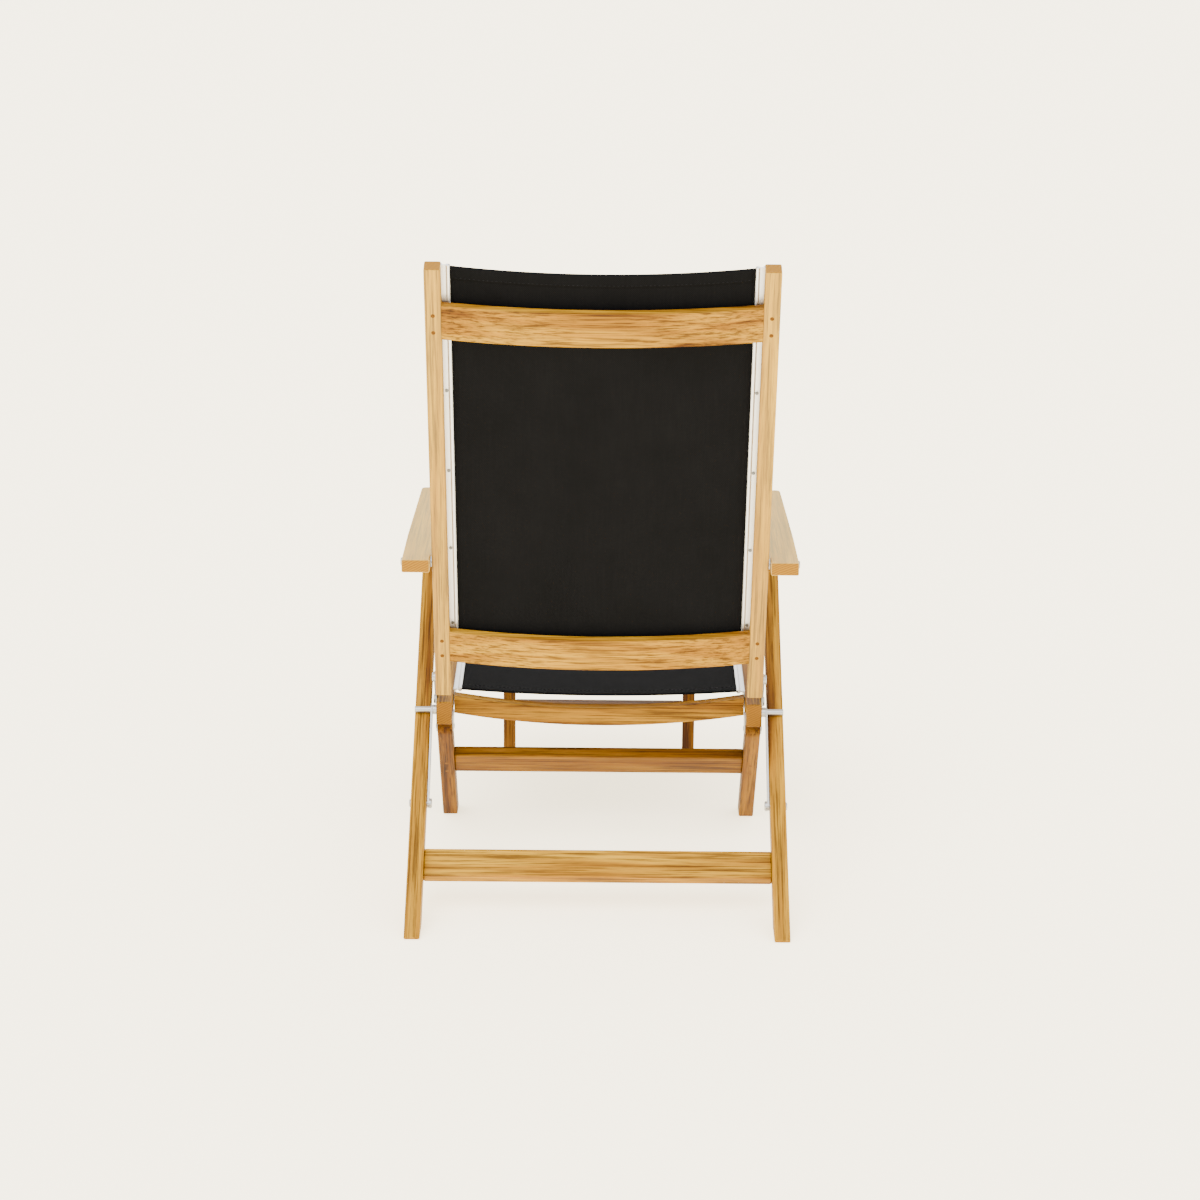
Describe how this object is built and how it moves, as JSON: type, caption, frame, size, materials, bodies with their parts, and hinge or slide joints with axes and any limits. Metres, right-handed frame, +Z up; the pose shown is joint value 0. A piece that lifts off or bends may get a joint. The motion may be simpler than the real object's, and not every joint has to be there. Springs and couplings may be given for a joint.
{
  "type": "folding deck chair",
  "caption": "Folding wooden deck chair with armrests and dark fabric slings on the seat and back; the back, arms and legs fold together through steel links.",
  "frame": {"origin": "bottom centre of the bounding box, on the floor", "axes": "+Z up, the sitter faces -Y, +X to the sitter's left"},
  "size_m": [0.63, 0.8526, 1.0436],
  "materials": {
    "teak": "oiled",
    "plug_wood": "oiled end grain",
    "aluminium_rail": "satin anodised",
    "steel": "brushed stainless",
    "sling_fabric": "woven mesh"
  },
  "bodies": {
    "seat_frame": {"seat_side_rail_left": "teak", "seat_side_rail_right": "teak", "seat_cross_rail_rear": "teak", "seat_cross_rail_front": "teak", "seat_sling_rail_left": "aluminium_rail", "seat_sling_rail_right": "aluminium_rail", "seat_sling": "sling_fabric", "seat_sling_screws": "steel", "back_hinge_bolts": "steel", "link_pivot_bolts": "steel", "front_leg_brackets": "steel", "front_leg_pins": "steel", "prop_brackets": "steel", "prop_pins": "steel"},
    "back": {"back_stile_left": "teak", "back_stile_right": "teak", "back_dowel_plugs": "plug_wood", "back_top_rail": "teak", "back_lower_rail": "teak", "back_sling_rail_left": "aluminium_rail", "back_sling_rail_right": "aluminium_rail", "back_sling": "sling_fabric", "back_sling_screws": "steel", "hinge_plates": "steel", "hinge_plate_bolts": "steel", "arm_spacers": "steel"},
    "arms": {"armrest_left": "teak", "armrest_right": "teak", "arm_pivot_bolts": "steel", "arm_brackets": "steel", "leg_pivot_pins": "steel"},
    "rear_legs": {"rear_leg_left": "teak", "rear_leg_right": "teak", "rear_stretcher": "teak", "strap_bolts": "steel"},
    "link_straps": {"link_strap_left": "steel", "link_strap_right": "steel", "stop_pins": "steel"},
    "front_legs": {"front_leg_left": "teak", "front_leg_right": "teak", "front_leg_dowel_plugs": "plug_wood", "front_stretcher": "teak"},
    "front_prop": {"prop_leg_left": "teak", "prop_leg_right": "teak", "prop_low_crossbar": "teak", "prop_upper_crossbar": "teak"}
  },
  "joints": [
    {"name": "back_fold", "type": "hinge", "parent": "seat_frame", "child": "back", "pos_m": [0, 0.05373, 0.263], "axis": [1, 0, 0], "range_deg": [0, 107]},
    {"name": "strap_swing", "type": "hinge", "parent": "seat_frame", "child": "link_straps", "pos_m": [0, 0.08373, 0.255], "axis": [1, 0, 0], "range_deg": [-112.56, 0]},
    {"name": "leg_swing", "type": "hinge", "parent": "link_straps", "child": "rear_legs", "pos_m": [0, 0.20544, 0.1392], "axis": [1, 0, 0], "range_deg": [0, 149.84]},
    {"name": "arm_swing", "type": "hinge", "parent": "rear_legs", "child": "arms", "pos_m": [0, -0.27191, 0.47968], "axis": [1, 0, 0], "range_deg": [-28.24, 0]},
    {"name": "front_leg_fold", "type": "hinge", "parent": "seat_frame", "child": "front_legs", "pos_m": [0, 0.04973, 0.214], "axis": [1, 0, 0], "range_deg": [-52.01, 0]},
    {"name": "prop_fold", "type": "hinge", "parent": "seat_frame", "child": "front_prop", "pos_m": [0, -0.38827, 0.204], "axis": [1, 0, 0], "range_deg": [0, 88]}
  ],
  "couplings": [
    {"joint": "strap_swing", "follows": "back_fold", "ratio": -1.0519},
    {"joint": "leg_swing", "follows": "back_fold", "ratio": 1.4003},
    {"joint": "arm_swing", "follows": "back_fold", "ratio": -0.26383},
    {"joint": "front_leg_fold", "follows": "back_fold", "ratio": -0.48598}
  ]
}
